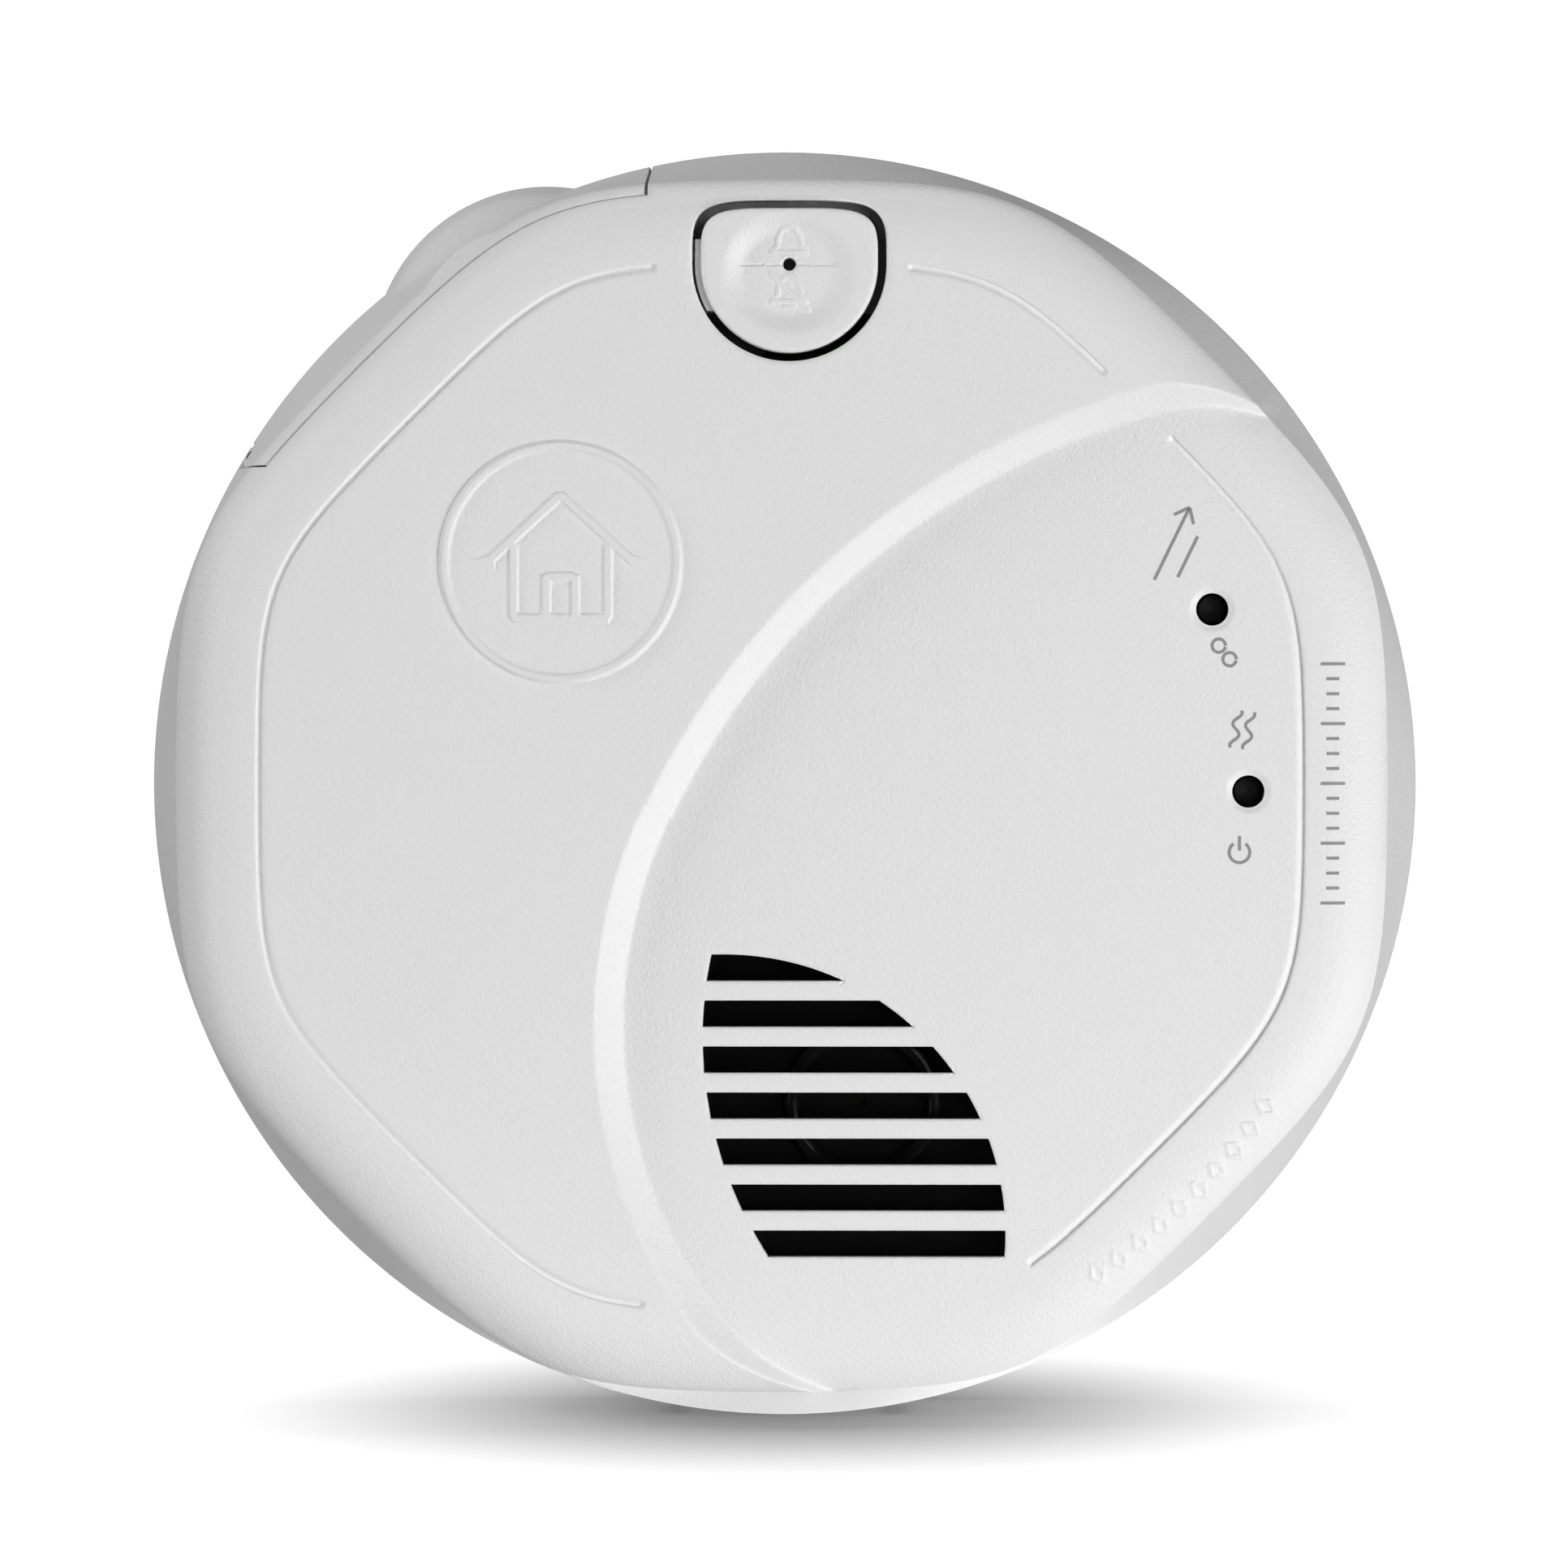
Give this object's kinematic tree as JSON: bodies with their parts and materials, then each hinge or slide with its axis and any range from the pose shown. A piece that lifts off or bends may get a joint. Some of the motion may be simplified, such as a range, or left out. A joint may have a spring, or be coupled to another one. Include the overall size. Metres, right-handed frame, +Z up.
{
  "type": "combined smoke and carbon monoxide alarm",
  "caption": "Round wall or ceiling smoke and carbon monoxide alarm with a stepped face, sound grille, test button, swing-out battery drawer and twist-off mounting bracket",
  "frame": {"origin": "centre of the mounting bracket's back, on the wall plane", "axes": "+Z up, front faces -Y, +Y goes into the wall"},
  "size_m": [0.142, 0.0475, 0.142],
  "materials": {
    "white_plastic": "fine spark-eroded texture, satin",
    "back_plastic": "fine texture, satin",
    "black_plastic": "moulded, satin black",
    "dark_plastic": "moulded, dark grey",
    "circuit_board": "green solder mask",
    "steel": "plated steel",
    "sensor_can": "plated can",
    "brass": "satin brass",
    "screen_mesh": "etched fine mesh",
    "clear_plastic": "clear, polished",
    "green_lamp": "tinted clear, unlit",
    "red_lamp": "tinted clear, unlit",
    "capacitor_case": "moulded case",
    "capacitor_sleeve": "shrink sleeve",
    "varistor_coat": "dipped coating",
    "battery_jacket": "printed sleeve, plain dark grey"
  },
  "bodies": {
    "bracket": {"mounting_bracket": "back_plastic"},
    "alarm": {"rear_housing": "back_plastic", "front_cover": "white_plastic", "drawer_hinge_pin": "steel", "button_pivot_pin": "steel", "battery_contact_positive": "steel", "battery_contact_negative": "steel", "test_switch_body": "black_plastic", "circuit_board": "circuit_board", "smoke_chamber_base": "black_plastic", "smoke_chamber_cap": "black_plastic", "insect_screen": "screen_mesh", "infrared_emitter": "clear_plastic", "photodiode": "dark_plastic", "co_sensor_cell": "sensor_can", "horn_body": "black_plastic", "piezo_disc": "brass", "horn_contact_1": "steel", "horn_contact_2": "steel", "horn_contact_3": "steel", "power_led": "green_lamp", "co_led": "red_lamp", "power_light_pipe": "clear_plastic", "co_light_pipe": "clear_plastic", "microcontroller": "dark_plastic", "film_capacitor": "capacitor_case", "electrolytic_capacitor_1": "capacitor_sleeve", "electrolytic_capacitor_2": "capacitor_sleeve", "varistor": "varistor_coat", "horn_coil": "dark_plastic", "inlet_pin_1": "brass", "inlet_pin_2": "brass", "inlet_pin_3": "brass", "housing_screw_1": "steel", "housing_screw_2": "steel", "housing_screw_3": "steel"},
    "battery_drawer": {"battery_drawer": "white_plastic", "battery_jacket": "battery_jacket", "battery_terminal_positive": "steel", "battery_terminal_negative": "steel"},
    "test_button": {"test_button": "white_plastic"},
    "switch_plunger": {"switch_plunger": "dark_plastic"}
  },
  "joints": [
    {"name": "twist_lock", "type": "hinge", "parent": "bracket", "child": "alarm", "pos_m": [0, 0, 0], "axis": [0, -1, 0], "range_deg": [0, 15]},
    {"name": "drawer_swing", "type": "hinge", "parent": "alarm", "child": "battery_drawer", "pos_m": [-0.0596, 0, 0.0367], "axis": [0, -1, 0], "range_deg": [0, 60]},
    {"name": "button_press", "type": "hinge", "parent": "alarm", "child": "test_button", "pos_m": [-0.0155, -0.0414, 0.0564], "axis": [0, 0, 1], "range_deg": [0, 2], "stiffness_Nm_per_rad": 1, "springref_deg": -0.57},
    {"name": "plunger_travel", "type": "slide", "parent": "alarm", "child": "switch_plunger", "axis": [0, 1, 0], "range_m": [0, 0.0006]}
  ],
  "couplings": [
    {"joint": "plunger_travel", "follows": "button_press", "m_per_rad": 0.01645}
  ]
}
